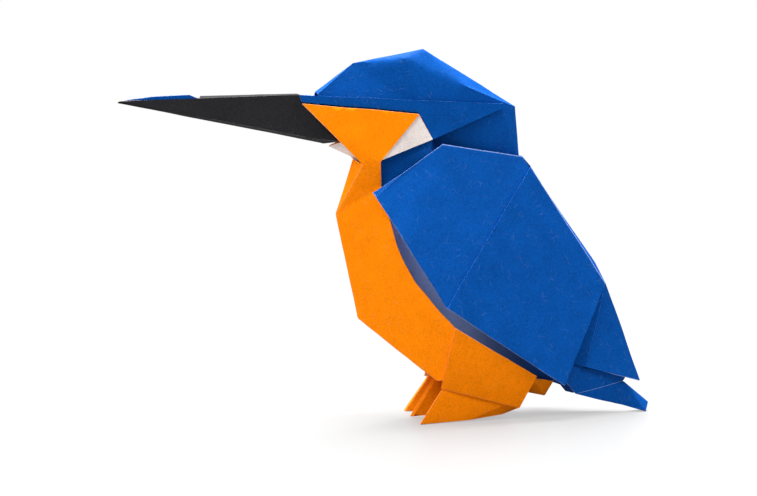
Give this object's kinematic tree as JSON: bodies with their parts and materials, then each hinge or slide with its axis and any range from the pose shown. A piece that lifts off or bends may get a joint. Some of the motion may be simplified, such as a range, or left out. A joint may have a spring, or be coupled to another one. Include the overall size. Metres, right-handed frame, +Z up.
{
  "type": "origami kingfisher",
  "caption": "Standing kingfisher folded and cut from coloured paper: long black beak, blue head, back, wings and tail, orange breast, thighs and feet.",
  "frame": {"origin": "bottom centre of the bird's box, on the floor it stands on", "axes": "+Z up, +X from the beak to the tail, +Y to the bird's left across its thickness"},
  "size_m": [0.1514, 0.0352, 0.1041],
  "materials": {
    "black_paper": "matt, dyed on one side, white reverse",
    "blue_paper": "matt, dyed on one side, white reverse",
    "orange_paper": "matt, dyed on one side, white reverse"
  },
  "bodies": {
    "root": {"beak_sheet": "black_paper", "blue_sheet": "blue_paper", "orange_sheet": "orange_paper"}
  },
  "joints": []
}
